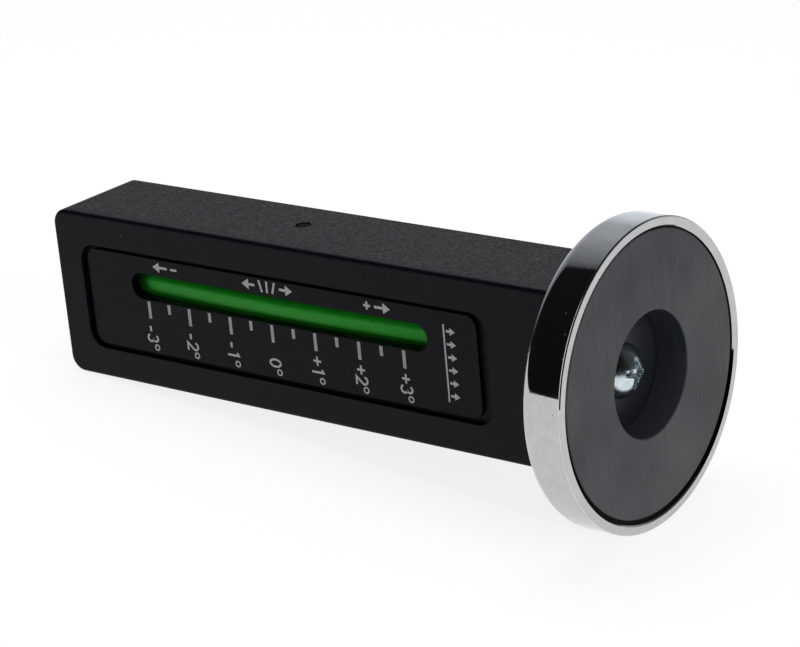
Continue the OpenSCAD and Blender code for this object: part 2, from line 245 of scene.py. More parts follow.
def place(obj, body, slot, finishes, *nodes, choose=None):
    """Puts a finished piece on its body and in the place of its CAD nodes; the slot is not used.

    Where choose is given, finishes is a list, and choose gives the number in it for a face's middle.
    """
    for finish in finishes if choose else [finishes]:
        obj.data.materials.append(finish)
    if choose:
        for face in obj.data.polygons:
            face.material_index = choose(face.center / MM)
    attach(obj, body)
    if nodes:
        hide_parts(*nodes)


def arc(cx, cy, r, start, end, steps):
    """Points on an arc between two angles in degrees."""
    turns = [math.radians(start + (end - start) * i / steps) for i in range(steps + 1)]
    return [(cx + r * math.cos(a), cy + r * math.sin(a)) for a in turns]


def oval(cx, cy, rx, ry, sides):
    """Points round an oval, counter-clockwise."""
    turns = [2 * math.pi * i / sides for i in range(sides)]
    return [(cx + rx * math.cos(a), cy + ry * math.sin(a)) for a in turns]


def circle(r, sides):
    """Points round a circle about the origin."""
    return oval(0, 0, r, r, sides)


def join_rings(faces, a, b, n):
    """Adds the quads between two closed rings of n points that start at vertices a and b."""
    for i in range(n):
        j = (i + 1) % n
        faces.append((a + i, b + i, b + j, a + j))


def lathe(name, profile):
    """Closed outline of (x, radius) points turned about the X axis."""
    n, segments = len(profile), 256
    verts, faces = [], []
    for s in range(segments):
        a = 2 * math.pi * s / segments
        verts += [(x, r * math.cos(a), r * math.sin(a)) for x, r in profile]
    for s in range(segments):
        join_rings(faces, s * n, (s + 1) % segments * n, n)
    return make_object(name, verts, faces, crease=35)


def vial_point(deg, out, up):
    """Point at this angle along the vial: out is the distance from its axis towards the dial."""
    a = math.radians(deg)
    r = CURVE_R + out
    return (ZERO_X + r * math.sin(a), CURVE_Y - r * math.cos(a), VIAL_Z + up)


def sweep(name, outline, start, end, steps):
    """Outline of (out, up) points swept along the vial's curve between two angles."""
    n = len(outline)
    verts, faces = [], []
    for s in range(steps + 1):
        deg = start + (end - start) * s / steps
        verts += [vial_point(deg, o, u) for o, u in outline]
    for s in range(steps):
        join_rings(faces, s * n, (s + 1) * n, n)
    faces.append(tuple(range(n)))
    faces.append(tuple(steps * n + i for i in range(n - 1, -1, -1)))
    return make_object(name, verts, faces, crease=50)


def dome(name, point_at, rows, sides):
    """Dome with a flat base, where point_at gives the point at a share of the way out and a turn."""
    verts = [point_at(0, 0)]
    for r in range(1, rows + 1):
        verts += [point_at(r / rows, 2 * math.pi * s / sides) for s in range(sides)]
    faces = [(0, 1 + s, 1 + (s + 1) % sides) for s in range(sides)]
    for a in range(1, 1 + (rows - 1) * sides, sides):
        join_rings(faces, a, a + sides, sides)
    faces.append(tuple(range(rows * sides, (rows - 1) * sides, -1)))
    return make_object(name, verts, faces, crease=180)


# ---------------------------------------------------------------- materials
class Tree:
    """A node tree with short calls for the nodes that a material or a world needs."""

    def __init__(self, owner):
        owner.use_nodes = True
        self.nodes = owner.node_tree.nodes
        self.links = owner.node_tree.links

    def put(self, socket, value):
        """Links an output to a socket, or sets the socket to a plain value."""
        if isinstance(value, bpy.types.NodeSocket):
            self.links.new(value, socket)
        else:
            socket.default_value = value

    def add(self, kind, **inputs):
        """New node of a kind with these inputs, whose names have _ in place of spaces."""
        node = self.nodes.new(kind)
        for key, value in inputs.items():
            self.put(node.inputs[key.replace("_", " ")], value)
        return node

    def math(self, operation, *values):
        """Result of a Math node on numbers or outputs."""
        node = self.nodes.new("ShaderNodeMath")
        node.operation = operation
        for socket, value in zip(node.inputs, values):
            self.put(socket, value)
        return node.outputs["Value"]

    def span(self, value, low, high, to_low=0.0, to_high=1.0):
        """Maps low..high to to_low..to_high, clamped."""
        node = self.add("ShaderNodeMapRange", Value=value, From_Min=low, From_Max=high,
                        To_Min=to_low, To_Max=to_high)
        return node.outputs["Result"]

    def mix(self, factor, a, b, blend="MIX"):
        """Colour between two colours or colour outputs."""
        node = self.nodes.new("ShaderNodeMix")
        node.data_type = "RGBA"
        node.blend_type = blend
        for index, value in ((0, factor), (6, a), (7, b)):
            self.put(node.inputs[index], value)
        return node.outputs[2]

    def mix_levels(self, factor, a, b):
        """Number between two number outputs."""
        node = self.nodes.new("ShaderNodeMix")
        for index, value in ((0, factor), (2, a), (3, b)):
            self.put(node.inputs[index], value)
        return node.outputs[0]

    def ramp(self, value, stops):
        """Colour read from a value between 0 and 1 by these rising (value, colour) stops."""
        node = self.nodes.new("ShaderNodeValToRGB")
        while len(node.color_ramp.elements) < len(stops):
            node.color_ramp.elements.new(0.5)
        for element, (at, colour) in zip(node.color_ramp.elements, stops):
            element.position = at
            element.color = (*colour, 1.0)
        self.put(node.inputs["Fac"], value)
        return node.outputs["Color"]


class Look(Tree):
    """A Principled material, with patterns that lie in the frame in millimetres."""

    def __init__(self, name, **sockets):
        self.mat = bpy.data.materials.new(name)
        super().__init__(self.mat)
        self.shader = self.nodes["Principled BSDF"]
        for key, value in sockets.items():
            self.feed(key.replace("_", " "), value)
        self.spot = self.add("ShaderNodeTexCoord").outputs["Object"]

    def feed(self, socket, value):
        """Sets or links one socket of the material."""
        self.put(self.shader.inputs[socket], value)

    def noise(self, per_mm, detail=3.0, roughness=0.55, stretch=(1, 1, 1)):
        """Noise with this many features to a millimetre, closer along the stretched axes."""
        stretched = self.add("ShaderNodeMapping", Scale=stretch, Vector=self.spot).outputs["Vector"]
        node = self.add("ShaderNodeTexNoise", Scale=per_mm / MM, Detail=detail, Roughness=roughness,
                        Vector=stretched)
        return node.outputs["Fac"]

    def spots(self, per_mm, size):
        """Sparse round specks: 1 inside a speck and 0 outside."""
        node = self.add("ShaderNodeTexVoronoi", Scale=per_mm / MM, Vector=self.spot)
        return self.span(node.outputs["Distance"], size, size * 0.6)

    def along(self, axis):
        """Place along one axis, in millimetres."""
        split = self.add("ShaderNodeSeparateXYZ", Vector=self.spot)
        return self.math("DIVIDE", split.outputs[axis], MM)

    def facing_up(self, low, high):
        """0 where the face leans further than low allows, 1 where it looks straight up."""
        normal = self.add("ShaderNodeNewGeometry").outputs["Normal"]
        return self.span(self.add("ShaderNodeSeparateXYZ", Vector=normal).outputs["Z"], low, high)

    def facing(self, blend):
        """0 where the face looks at the viewer, 1 where it turns away."""
        return self.add("ShaderNodeLayerWeight", Blend=blend).outputs["Facing"]

    def within(self, centre, radius_mm):
        """1 inside a ball about this place in millimetres, fading over its last tenth, 0 outside."""
        away = self.nodes.new("ShaderNodeVectorMath")
        away.operation = "DISTANCE"
        self.put(away.inputs[0], self.spot)
        self.put(away.inputs[1], [c * MM for c in centre])
        return self.span(away.outputs["Value"], radius_mm * MM, radius_mm * MM * 0.9)

    def bump(self, height, strength, depth_mm):
        """Relief from a height between 0 and 1."""
        node = self.add("ShaderNodeBump", Strength=strength, Distance=depth_mm * MM, Height=height)
        self.feed("Normal", node.outputs["Normal"])


def grey(level, tint=0.0):
    """Grey with this level, bluer by the tint."""
    return (level, level, level * (1 + tint), 1.0)


def moulded_black():
    """Black plastic: smooth and dark, with a matt grain on top, where painted light makes it paler;
    the moulding mark has painted light and shade.
    """
    look = Look("moulded_black", Specular_IOR_Level=0.12)
    up = look.math("MULTIPLY", look.facing_up(0.85, 1.0), look.span(look.along("Z"), *TOP_Z))
    mottle = look.span(look.noise(1.6, detail=4.0, roughness=0.7), 0.40, 0.60)
    clean = look.mix(mottle, (0.0012, 0.0007, 0.0029, 1), (0.0027, 0.0021, 0.0050, 1))
    # Painted light: the top, behind the front edge, is painted paler, as light from above falls on it
    painted_light_colour = look.mix(mottle, (0.0070, 0.0048, 0.0062, 1), (0.0230, 0.0180, 0.0208, 1))
    dust = look.math("MULTIPLY", up, look.span(look.along("Y"), *FRONT_Y))
    # Moulding mark: torn, mottled plastic, with painted shade and painted light in its recess
    gate = look.within(GATE_AT, GATE_R)
    tears = look.noise(1.5, detail=3.0)
    torn = look.mix(look.span(tears, 0.45, 0.60), grey(0.0015), grey(0.0140))
    base = look.mix(gate, look.mix(dust, clean, painted_light_colour), torn)
    look.feed("Base Color", look.mix(look.spots(0.16, 0.03), base, grey(0.12)))
    smooth_side = look.span(mottle, 0.0, 1.0, 0.53, 0.49)
    matt_top = look.span(mottle, 0.0, 1.0, 0.58, 0.45)
    look.feed("Roughness", look.mix_levels(up, smooth_side, matt_top))
    grain = look.noise(1.4, detail=5.0, roughness=0.75)
    grain = look.math("MULTIPLY", grain, look.span(up, 0.0, 1.0, 0.4, 1.0))
    rough_gate = look.math("MULTIPLY", tears, look.math("MULTIPLY", gate, 12.0))
    look.bump(look.math("ADD", grain, rough_gate), 1.0, 0.09)
    return look.mat


def satin_black():
    """Smooth printed face of the dial plate."""
    look = Look("satin_black", Specular_IOR_Level=0.095)
    cloud = look.span(look.noise(0.25, detail=4.0), 0.3, 0.7)
    black = look.mix(cloud, (0.0009, 0.0003, 0.0020, 1), (0.0026, 0.0018, 0.0042, 1))
    look.feed("Base Color", look.mix(look.spots(0.22, 0.03), black, grey(0.10)))
    scuff = look.noise(1.6, detail=3.0, stretch=(0.25, 1, 1))
    look.feed("Roughness", look.span(scuff, 0.3, 0.7, 0.38, 0.50))
    look.bump(scuff, 0.3, 0.012)
    return look.mat


def printed_ink(name, low, high):
    """Pale grey ink, a little thin in places."""
    look = Look(name, Roughness=0.55)
    thin = look.noise(3.0, detail=3.0, roughness=0.7)
    look.feed("Base Color", look.mix(look.span(thin, 0.35, 0.60), grey(low), grey(high)))
    look.bump(thin, 0.2, 0.01)
    return look.mat


def chrome(name, level, rough_low, rough_high):
    """Bright plate with faint polishing haze, fine pits and a few specks of dust."""
    look = Look(name)
    haze = look.span(look.noise(0.35, detail=5.0, roughness=0.7), 0.36, 0.64)
    dust = look.spots(0.45, 0.07)
    plate = look.mix(haze, grey(level * 0.93, 0.02), grey(level * 1.03, 0.015))
    look.feed("Base Color", look.mix(dust, plate, grey(0.10)))
    look.feed("Metallic", look.span(dust, 0.0, 1.0, 1.0, 0.2))
    polished = look.span(haze, 0.0, 1.0, rough_high, rough_low)
    look.feed("Roughness", look.mix_levels(dust, polished, look.span(haze, 0.0, 1.0, 0.8, 0.6)))
    look.bump(look.noise(1.1, detail=4.0, roughness=0.7), 0.14, 0.006)
    return look.mat


def painted_edge_highlight():
    """Outer edge of the rim: a pale painted highlight, with a painted dark reflection near the top."""
    look = Look("painted_edge_highlight", Roughness=0.45)
    patch = look.noise(0.3)
    height = look.math("ADD", look.along("Z"), look.math("MULTIPLY", patch, 8.0))
    # Painted highlight, turning to a painted dark reflection near the top
    look.feed("Base Color", look.mix(look.span(height, *DARK_EDGE_Z), grey(0.66), grey(0.02)))
    look.bump(patch, 0.25, 0.015)
    return look.mat


def zinc_head():
    """Blue-passivated zinc with a fine grain from the plating bath."""
    look = Look("zinc_head", Metallic=1.0)
    cloud = look.span(look.noise(0.8, detail=4.0, roughness=0.7), 0.35, 0.65)
    look.feed("Base Color", look.mix(cloud, (0.50, 0.64, 0.66, 1), (0.70, 0.72, 0.78, 1)))
    grain = look.noise(5.0, detail=3.0, roughness=0.7)
    look.feed("Roughness", look.span(grain, 0.3, 0.7, 0.12, 0.30))
    look.bump(grain, 0.5, 0.02)
    return look.mat


def ground_ferrite():
    """Dark ceramic, ground in fine straight lines."""
    look = Look("ground_ferrite", Specular_IOR_Level=0.2)
    lines = look.noise(0.30, detail=6.0, roughness=0.8, stretch=(1, 5.0, 0.12))
    cloud = look.noise(0.06, detail=4.0)
    tone = look.math("ADD", look.math("MULTIPLY", lines, 0.6), look.math("MULTIPLY", cloud, 0.4))
    ground = look.mix(look.span(tone, 0.40, 0.60), (0.032, 0.038, 0.041, 1), (0.069, 0.067, 0.075, 1))
    look.feed("Base Color", look.mix(look.spots(0.12, 0.05), ground, grey(0.02)))
    look.feed("Roughness", look.span(lines, 0.3, 0.7, 0.40, 0.62))
    look.bump(lines, 0.6, 0.04)
    return look.mat


def fired_ferrite():
    """Unground skin of the ring's hole, with painted light that makes it paler low in the hole."""
    look = Look("fired_ferrite", Roughness=0.45)
    patch = look.noise(1.0, detail=4.0, roughness=0.65)
    spread = look.span(patch, 0.3, 0.7)
    skin = look.mix(spread, (0.013, 0.017, 0.021, 1), (0.019, 0.024, 0.030, 1))
    # Painted light: paler low in the hole, where the wall faces the light from above
    painted_light_colour = look.mix(spread, (0.025, 0.029, 0.033, 1), (0.031, 0.036, 0.042, 1))
    look.feed("Base Color", look.mix(look.span(look.along("Z"), *HOLE_LIGHT_Z), skin, painted_light_colour))
    look.bump(patch, 0.25, 0.015)
    return look.mat


def plain_finish(name, low, high, rough, per_mm=1.0, metallic=0.0, specular=0.5):
    """Fine mottled finish between two colours, for the small pieces and parts of pieces."""
    look = Look(name, Metallic=metallic, Specular_IOR_Level=specular)
    spread = look.noise(per_mm, detail=4.0, roughness=0.65)
    look.feed("Base Color", look.mix(look.span(spread, 0.3, 0.7), low, high))
    look.feed("Roughness", look.span(spread, 0.3, 0.7, rough * 0.85, rough * 1.15))
    look.bump(spread, 0.25, 0.015)
    return look.mat


def green_liquid():
    """Dyed level liquid, with painted light low in the tube where light from above gathers, and
    painted shade where the window's end shades it.
    """
    look = Look("green_liquid", Roughness=0.3, Subsurface_Weight=0.2, Subsurface_Scale=0.002,
                Subsurface_Radius=(0.1, 1.0, 0.12), Specular_IOR_Level=0.06)
    drift = look.math("MULTIPLY", look.noise(0.25, detail=3.0), 0.5)
    height = look.math("ADD", look.along("Z"), drift)
    low, high = LIQUID_LIGHT_COLOURS[0][0], LIQUID_LIGHT_COLOURS[-1][0]
    stops = [((at - low) / (high - low), colour) for at, colour in LIQUID_LIGHT_COLOURS]
    # Painted light: the colour is brightest low in the tube, where light from above gathers
    painted_light_by_height = look.ramp(look.span(height, low, high), stops)
    # Painted shade where the window's far end shades the liquid
    shade = look.span(look.along("X"), *WINDOW_END_X)
    look.feed("Base Color", look.mix(shade, (0.001, 0.03, 0.002, 1), painted_light_by_height))
    return look.mat


def clear_tube():
    """Clear tube wall, which takes on the liquid's colour towards its edges."""
    look = Look("clear_tube", Specular_IOR_Level=1.0)
    haze = look.noise(0.4, detail=3.0)
    look.feed("Roughness", look.span(haze, 0.3, 0.7, 0.05, 0.12))
    look.feed("Base Color", look.mix(haze, (0.006, 0.13, 0.006, 1), (0.012, 0.19, 0.010, 1)))
    look.feed("Alpha", look.span(look.facing(0.5), 0.35, 0.85, 0.07, 0.9))
    return look.mat


def air():
    """Air bubble: painted light, paler than the liquid, and painted shade where it curves away."""
    look = Look("air_bubble", Roughness=0.08)
    ripple = look.span(look.noise(0.6), 0.3, 0.7, 0.0, 0.12)
    # Painted light in the middle, painted shade towards the edges
    edge = look.math("ADD", look.facing(0.35), ripple)
    look.feed("Base Color", look.mix(edge, (0.20, 0.75, 0.24, 1), (0.02, 0.20, 0.03, 1)))
    return look.mat


# ---------------------------------------------------------------- magnet
def cup_profile():
    """Section of the cup as (x, radius), from the screw hole round to the floor."""
    back, wall_in = -CUP_T, CUP_R - CUP_WALL
    turns = [math.radians(90 * i / 10) for i in range(11)]
    corner = [(back + CUP_BACK_R - CUP_BACK_R * math.cos(a),
               CUP_R - CUP_BACK_R + CUP_BACK_R * math.sin(a)) for a in turns]
    return [(back, SCREW_HOLE_R), *corner,
            (-RIM_BEVEL, CUP_R), (EDGE_HIGHLIGHT_W - RIM_BEVEL, CUP_R - EDGE_HIGHLIGHT_W), (0, CUP_R - RIM_BEVEL),
            (0, wall_in + RIM_BEVEL), (-RIM_BEVEL, wall_in),
            (-CUP_FLOOR, wall_in), (-CUP_FLOOR, SCREW_HOLE_R)]


def cup_finish(at):
    """Finish of the cup at a place: 1 on its dark floor, 2 on the outer edge's painted highlight, else
    0.
    """
    if abs(at.x + CUP_FLOOR) < TOUCH:
        return 1
    return 2 if at.x > -RIM_BEVEL and math.hypot(at.y, at.z) > CUP_R - EDGE_HIGHLIGHT_W else 0


def ring_finish(at):
    """Finish of the ring at a place: 1 in its hole, 2 on its outside, painted black as shade in the
    gap, 0 on its ground face.
    """
    if at.x >= -RING_SINK - RING_BEVEL:
        return 0
    return 2 if math.hypot(at.y, at.z) > (RING_R + RING_HOLE_R) / 2 else 1


def off_centre(obj, reach):
    """Shifts what lies within this radius, as the ring sits off centre in its cup."""
    for vert in obj.data.vertices:
        if math.hypot(vert.co.y, vert.co.z) < reach * MM:
            vert.co.y += RING_OFF[0] * MM
            vert.co.z += RING_OFF[1] * MM
    return obj


def magnet(cup_looks, ring_looks, seal_and_shade_look):
    """Plated cup, the ground ring in it, and the seal that fills the gap; the seal and the ring's
    outside are painted black as shade in the gap.
    """
    place(lathe("chrome_cup", cup_profile()), "gauge", "cup", cup_looks, "magnet_cup",
          choose=cup_finish)
    floor, bottom = -CUP_FLOOR, -CUP_FLOOR + GLUE_T
    ring = [(bottom, RING_HOLE_R), (bottom, RING_R),
            (-RING_SINK - RING_BEVEL, RING_R), (-RING_SINK, RING_R - RING_BEVEL),
            (-RING_SINK, RING_HOLE_R + RING_BEVEL), (-RING_SINK - RING_BEVEL, RING_HOLE_R)]
    place(off_centre(lathe("ferrite_magnet", ring), CUP_R), "gauge", "ferrite", ring_looks,
          "ferrite_ring", choose=ring_finish)
    gap_in, gap_out = RING_R + GLUE_GAP, CUP_R - CUP_WALL - GLUE_GAP
    under = RING_HOLE_R + RING_BEVEL
    seal = [(floor, under), (floor, gap_out), (-GLUE_SINK, gap_out), (-GLUE_SINK, gap_in),
            (bottom, gap_in), (bottom, under)]
    beside_ring = (gap_in + gap_out) / 2
    place(off_centre(lathe("glue_line", seal), beside_ring), "gauge", "glue", seal_and_shade_look,
          "ring_adhesive")


def dome_height(r):
    """Height of the head's dome over the cup's floor at a radius."""
    return math.sqrt(DOME_R**2 - r * r) + HEAD_H - DOME_R


def eased(inside, slope):
    """0 outside an edge and 1 inside it, rising over a slope of this width."""
    return min(max(inside / slope, 0), 1)


def recess_depth_at(y, z):
    """Depth of the cross recess under the head's dome at a place on it."""
    u = abs(y * math.cos(RECESS_TURN) - z * math.sin(RECESS_TURN))
    v = abs(y * math.sin(RECESS_TURN) + z * math.cos(RECESS_TURN))
    reach, across = max(u, v), min(u, v)
    half_w = RECESS_HALF_W * (0.75 + 0.5 * (1 - reach / RECESS_ARM))
    wing = eased(half_w - across, RECESS_SIDE) * eased(RECESS_ARM - reach, RECESS_END)
    pit = eased(RECESS_PIT_R - math.hypot(y, z), RECESS_PIT_SIDE)
    return RECESS_DEPTH * max(wing * (1 - RECESS_RISE * reach / RECESS_ARM), pit)


def screw(bright):
    """Pan head with its cross recess, and the threaded shank."""
    rings, segments = 56, 144
    base = -CUP_FLOOR
    thread = [(-SHANK_L + i * THREAD_PITCH / THREAD_STEPS,
               SHANK_R - THREAD_DEPTH * abs(math.sin(math.pi * i / THREAD_STEPS)))
              for i in range(int(THREAD_STEPS * (SHANK_L - SHANK_PLAIN)) + 1)]
    side = [(-SHANK_L, SHANK_TIP_R), (-SHANK_L, SHANK_R - SHANK_STEP), *thread, (-TOUCH, SHANK_R),
            (0, HEAD_R - HEAD_BEVEL), (HEAD_BEVEL, HEAD_R),
            (dome_height(HEAD_R) - HEAD_RIM_DROP, HEAD_R)]
    verts, faces = [], []
    for x, r in side:
        verts += [(base + x, y, z) for y, z in circle(r, segments)]
    for i in range(rings):
        r = HEAD_R * DOME_SHARE * (1 - i / rings)
        verts += [(base + dome_height(r) - recess_depth_at(y, z), y, z)
                  for y, z in circle(r, segments)]
    top = len(verts) - segments
    for a in range(0, top, segments):
        b = a + segments
        for s in range(segments):
            t = (s + 1) % segments
            faces.append((a + s, a + t, b + t, b + s))
    faces.append(tuple(range(segments - 1, -1, -1)))
    faces.append(tuple(range(top, len(verts))))
    place(make_object("cross_head_screw", verts, faces, crease=40), "gauge", "zinc", bright,
          "centre_screw")


# ---------------------------------------------------------------- vial
def tube(name, outer, bore, steps):
    """Wall between two outlines of (out, up) points, along the whole vial."""
    sides = len(outer)
    row = 2 * sides
    last = steps * row
    verts, faces = [], []
    for s in range(steps + 1):
        deg = -VIAL_HALF_DEG + 2 * VIAL_HALF_DEG * s / steps
        verts += [vial_point(deg, o, u) for o, u in outer + bore]
    for i in range(sides):
        j = (i + 1) % sides
        for s in range(steps):
            a, b = s * row, (s + 1) * row
            faces.append((a + i, b + i, b + j, a + j))
            faces.append((b + sides + j, b + sides + i, a + sides + i, a + sides + j))
        faces.append((sides + j, sides + i, i, j))
        faces.append((last + sides + i, last + sides + j, last + j, last + i))
    return make_object(name, verts, faces, crease=50)


def vial(glass, liquid, rubber):
    """Clear tube along the curve, the liquid in it, and the plugs that close it."""
    sides, steps = 64, 96
    wall = tube("vial_glass", circle(VIAL_R, sides), circle(BORE_R, sides), steps)
    place(wall, "gauge", "vial", glass, "vial_tube")
    inner = VIAL_HALF_DEG - PLUG_DEG
    fluid = sweep("vial_liquid", circle(LIQUID_R, sides),
                  -inner + LIQUID_GAP_DEG, inner - LIQUID_GAP_DEG, steps)
    place(fluid, "gauge", "fluid", liquid, "vial_fluid")
    for node, start, end in (("vial_plug_far", -VIAL_HALF_DEG, -inner),
                             ("vial_plug_near", inner, VIAL_HALF_DEG)):
        plug = sweep(node + "_rubber", circle(BORE_R - PLUG_GAP, 48), start, end, 3)
        place(plug, "gauge", "plug", rubber, node)


def bubble_point(share, turn):
    """Point on the bubble, this share of the way from the middle of its crown to its flat side."""
    crown = BORE_R - BUBBLE_GAP
    flat = crown - BUBBLE_D
    t = math.pi / 2 * share
    along = BUBBLE_L / 2 * math.cos(turn) * math.sin(t)
    up = BUBBLE_W / 2 * math.sin(turn) * math.sin(t)
    height = 1 - (1 - math.cos(t)) ** BUBBLE_ROUND
    out = flat + (math.sqrt(crown**2 - up * up) - flat) * height
    return vial_point(BUBBLE_DEG + along / DEGREE_L, out, up)


def bubble_finish(at):
    """Finish of the bubble at a place: 1 on its rim, painted dark as shade, else 0."""
    middle = vial_point(BUBBLE_DEG, BORE_R, 0)
    share = math.hypot((at.x - middle[0]) / (BUBBLE_L / 2), (at.z - VIAL_Z) / (BUBBLE_W / 2))
    return int(share > BUBBLE_RIM)


def bubble(looks):
    """Flat-bottomed oval of air that follows the crown of the bore, and its rim, painted dark as
    shade.
    """
    place(dome("air_bubble", bubble_point, 24, 48), "bubble", "air", looks, "bubble",
          choose=bubble_finish)


# ---------------------------------------------------------------- moulding mark
def stub_point(share, turn):
    """Point on the torn stub, this share of the way out from its middle."""
    x, y = STUB_R * share * math.cos(turn), STUB_R * share * math.sin(turn)
    wave = math.sin(3.1 * x + 0.6) * math.cos(2.7 * y - 0.4) + 0.5 * math.sin(6.3 * x - 1.9 * y)
    height = (STUB_H + STUB_WAVE * wave) * (1 - share**4)
    return (GATE_AT[0] + x, GATE_AT[1] + y, GATE_FLOOR + height)


def torn_stub(look):
    """Uneven stub left where the sprue was torn off."""
    place(dome("torn_stub", stub_point, 12, 48), "gauge", "housing", look)


# ---------------------------------------------------------------- printed signs
def area(outline):
    """Area inside a closed outline of (x, z) points: positive where it runs counter-clockwise."""
    return sum(a[0] * b[1] - b[0] * a[1] for a, b in zip(outline, outline[1:] + outline[:1])) / 2


class Print:
    """Thin raised ink on the dial, gathered as strokes and filled shapes."""

    def __init__(self):
        self.verts, self.faces = [], []

    def prism(self, outline):
        """Filled shape inside a closed outline of (x, z) points in millimetres."""
        if area(outline) < 0:
            outline = outline[::-1]
        n, start = len(outline), len(self.verts)
        self.verts += [(x, DIAL_FACE - INK_T, z) for x, z in outline]
        self.verts += [(x, DIAL_FACE, z) for x, z in outline]
        self.faces.append(tuple(start + i for i in range(n)))
        self.faces.append(tuple(start + n + i for i in range(n - 1, -1, -1)))
        for i in range(n):
            j = (i + 1) % n
            self.faces.append((start + i, start + n + i, start + n + j, start + j))

    def band(self, outer, inner):
        """Ring between two closed outlines of as many points."""
        if area(outer) < 0:
            outer, inner = outer[::-1], inner[::-1]
        n, start = len(outer), len(self.verts)
        back = 2 * n
        for y in (DIAL_FACE - INK_T, DIAL_FACE):
            self.verts += [(x, y, z) for x, z in outer + inner]
        for i in range(n):
            j = (i + 1) % n
            a, b, c, d = start + i, start + j, start + n + j, start + n + i
            self.faces += [(a, b, c, d), (d + back, c + back, b + back, a + back),
                           (a, a + back, b + back, b), (d, c, c + back, d + back)]

    def stroke(self, points, width, closed=False):
        """Line of even width along these (x, z) points, with mitred corners."""
        n = len(points)
        left, right = [], []
        for i in range(n):
            before = points[i - 1] if i or closed else points[i]
            after = points[(i + 1) % n] if i < n - 1 or closed else points[i]
            here = Vector(points[i])
            into = (here - Vector(before)).normalized() if points[i] != before else None
            away = (Vector(after) - here).normalized() if points[i] != after else None
            into, away = into or away, away or into
            along = into + away
            normal = Vector((-along.y, along.x)).normalized()
            reach = width / 2 / max(normal.dot(Vector((-into.y, into.x))), MITRE_LIMIT)
            left.append(tuple(here + normal * reach))
            right.append(tuple(here - normal * reach))
        if not closed:
            self.prism(left + right[::-1])
        elif abs(area(left)) > abs(area(right)):
            self.band(left, right)
        else:
            self.band(right, left)

    def finish(self, name, ink, *nodes):
        """Places all that was printed as one piece."""
        place(make_object(name, self.verts, self.faces), "gauge", "ink", ink, *nodes)


def digit_strokes(digit):
    """Centre lines of 0, 1, 2 or 3 about its middle, as (across, up), and whether each closes."""
    top = (DIGIT_H - STROKE) / 2
    half_w = 0.86
    if digit == 0:
        return [(oval(0, 0, half_w, top, 32), True)]
    if digit == 1:
        stem = 0.16
        return [([(-0.55, top - 0.42), (stem, top), (stem, -top - STROKE / 2)], False)]
    if digit == 2:
        bow_r = 0.84
        bow = arc(0.0, top - bow_r, bow_r, 175, -38, 16)
        return [(bow + [(-half_w, -top), (1.08, -top)], False)]
    upper_r = 0.72
    return [(arc(-0.02, top - upper_r, upper_r, 160, -90, 16), False),
            (arc(-0.06, -top + half_w, half_w, 90, -160, 18), False)]


def figure(ink, digit, x):
    """The scale's figures lie on their side: up points to +X and they read down the dial."""
    for line, closed in digit_strokes(digit):
        ink.stroke([(x + up, DIGIT_Z - across) for across, up in line], STROKE, closed)


def scale_figures(ink):
    """Signed degrees under the marks, from -3 to +3."""
    for degree in range(-DEGREES, DEGREES + 1):
        x = ZERO_X + degree * DEGREE_L
        figure(ink, abs(degree), x)
        ink.stroke(oval(x + DEGREE_X, DEGREE_Z, DEGREE_R, DEGREE_R, 28), DEGREE_W, closed=True)
        if degree < 0:
            ink.stroke([(x + MINUS_X, z) for z in MINUS_Z], MINUS_W)
        if degree > 0:
            plus(ink, x, PLUS_Z, PLUS_HALF, STROKE)


def plus(ink, x, z, h, width):
    """Plus sign about a middle, reaching h each way."""
    w = width / 2
    quarter = [(h, -w), (h, w), (w, w)]
    ink.prism([(x + u * c - v * s, z + u * s + v * c)
               for c, s in ((1, 0), (0, 1), (-1, 0), (0, -1)) for u, v in quarter])


def arrow(ink, x, z, direction, length, head, width):
    """Arrow along X about its middle, pointing to +X or -X."""
    tip, tail = x + direction * length / 2, x - direction * length / 2
    neck = tip - direction * head
    upper = [(tail, width / 2), (neck, width / 2), (neck, head * ARROW_HALF_W)]
    lower = [(u, -v) for u, v in reversed(upper)]
    ink.prism([(u, z + v) for u, v in [*upper, (tip, 0), *lower]])


def direction_signs(ink):
    """Signs over the window: minus to the far end, plus to the magnet, three tilts between them."""
    z = TOP_SIGNS_Z
    arrow(ink, FAR_SIGN_X - END_ARROW_OFF, z, -1, *END_ARROW)
    minus_x = FAR_SIGN_X + END_SIGN_OFF
    ink.stroke([(minus_x - END_SIGN_HALF, z), (minus_x + END_SIGN_HALF, z)], SIGN_W)
    arrow(ink, NEAR_SIGN_X + END_ARROW_OFF, z, 1, *END_ARROW)
    plus(ink, NEAR_SIGN_X - END_SIGN_OFF, z, END_SIGN_HALF, SIGN_W)
    for side in (-1, 0, 1):
        foot, top = TILTS_X + side * TILT_FOOT_OFF, TILTS_X + side * TILT_TOP_OFF
        ink.stroke([(foot, z - TILT_HALF_H), (top, z + TILT_HALF_H)], SIGN_W)
        if side:
            arrow(ink, TILTS_X + side * TILT_ARROW_OFF, z, side, *TILT_ARROW)


def up_signs(ink):
    """Row of small arrows on a bar, for which side is turned up."""
    ink.stroke([(BAR_X, BAR_TOP), (BAR_X, BAR_BOTTOM)], BAR_W)
    step = (BAR_TOP - BAR_BOTTOM) / BAR_ARROWS
    for i in range(BAR_ARROWS):
        arrow(ink, BAR_ARROW_X, BAR_TOP - step * (i + 0.5), 1, *BAR_ARROW)


def mark_strokes(ink):
    """Whole-degree and half-degree marks under the window."""
    for i in range(-2 * DEGREES, 2 * DEGREES + 1):
        x = ZERO_X + i * DEGREE_L / 2
        length = HALF_MARK_L if i % 2 else MARK_L
        ink.stroke([(x, MARK_TOP), (x, MARK_TOP - length)], MARK_W)


